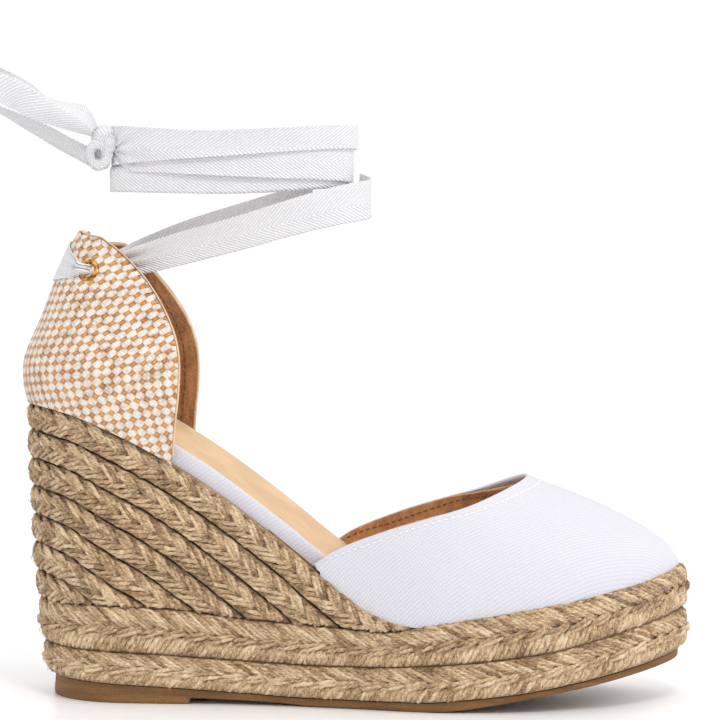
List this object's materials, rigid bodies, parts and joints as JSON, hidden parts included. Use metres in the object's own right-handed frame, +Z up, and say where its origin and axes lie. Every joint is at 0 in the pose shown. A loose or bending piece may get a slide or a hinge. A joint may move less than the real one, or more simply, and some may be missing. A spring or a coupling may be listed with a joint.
{
  "type": "wedge sandal",
  "caption": "Espadrille wedge sandal for the right foot: jute-plaited wedge and platform, canvas toe, woven heel counter and an ankle ribbon tied at the back.",
  "frame": {"origin": "on the ground at the middle of the heel's flat underside", "axes": "+X to the toe, +Y to the inner side of the foot, +Z up"},
  "size_m": [0.2615, 0.0869, 0.2335],
  "materials": {
    "jute_plait": "plaited natural jute, matt",
    "ribbon_cotton": "white herringbone cotton tape",
    "gold_eyelet": "polished gold-coloured eyelet",
    "sole_rubber": "brown ribbed rubber, satin",
    "cork_core": "agglomerated cork",
    "fibre_board": "pressed fibre board",
    "insole_leather": "light tan leather, satin",
    "white_canvas": "white plain-weave cotton canvas",
    "basket_weave": "ivory and tan basket weave",
    "suede_lining": "brown suede-like lining"
  },
  "bodies": {
    "shoe": {"rubber_outsole": "sole_rubber", "platform_core": "cork_core", "wedge_core": "cork_core", "platform_plait_lower": "jute_plait", "platform_plait_upper": "jute_plait", "wedge_plait_1": "jute_plait", "wedge_plait_2": "jute_plait", "wedge_plait_3": "jute_plait", "wedge_plait_4": "jute_plait", "wedge_plait_5": "jute_plait", "wedge_plait_6": "jute_plait", "wedge_plait_7": "jute_plait", "insole_board": "fibre_board", "insole_sock": "insole_leather", "footbed_rand": "white_canvas", "counter_fabric": "basket_weave", "heel_stiffener": "fibre_board", "counter_lining": "suede_lining", "vamp_canvas": "white_canvas", "toe_stiffener": "fibre_board", "vamp_lining": "suede_lining", "lateral_eyelet": "gold_eyelet", "lateral_eyelet_washer": "gold_eyelet", "medial_eyelet": "gold_eyelet", "medial_eyelet_washer": "gold_eyelet", "ribbon_heel_span": "ribbon_cotton"},
    "ankle_ribbon": {"ribbon_lateral_run": "ribbon_cotton", "ribbon_medial_run": "ribbon_cotton", "ribbon_wrap_upper": "ribbon_cotton", "ribbon_wrap_middle": "ribbon_cotton", "ribbon_wrap_lower": "ribbon_cotton", "ribbon_knot": "ribbon_cotton"},
    "tail_upper": {"ribbon_tail_upper": "ribbon_cotton"},
    "tail_lower": {"ribbon_tail_lower": "ribbon_cotton"}
  },
  "joints": [
    {"name": "ankle_ribbon_swing", "type": "hinge", "parent": "shoe", "child": "ankle_ribbon", "pos_m": [-0.0072, 0.001, 0.1568], "axis": [0, -1, 0], "range_deg": [-35, 18]},
    {"name": "upper_tail_swing", "type": "hinge", "parent": "ankle_ribbon", "child": "tail_upper", "pos_m": [-0.008, -0.003, 0.209], "axis": [0, 1, 0], "range_deg": [-60, 45]},
    {"name": "lower_tail_swing", "type": "hinge", "parent": "ankle_ribbon", "child": "tail_lower", "pos_m": [-0.0092, 0.0025, 0.1966], "axis": [0, 1, 0], "range_deg": [-50, 16]}
  ]
}
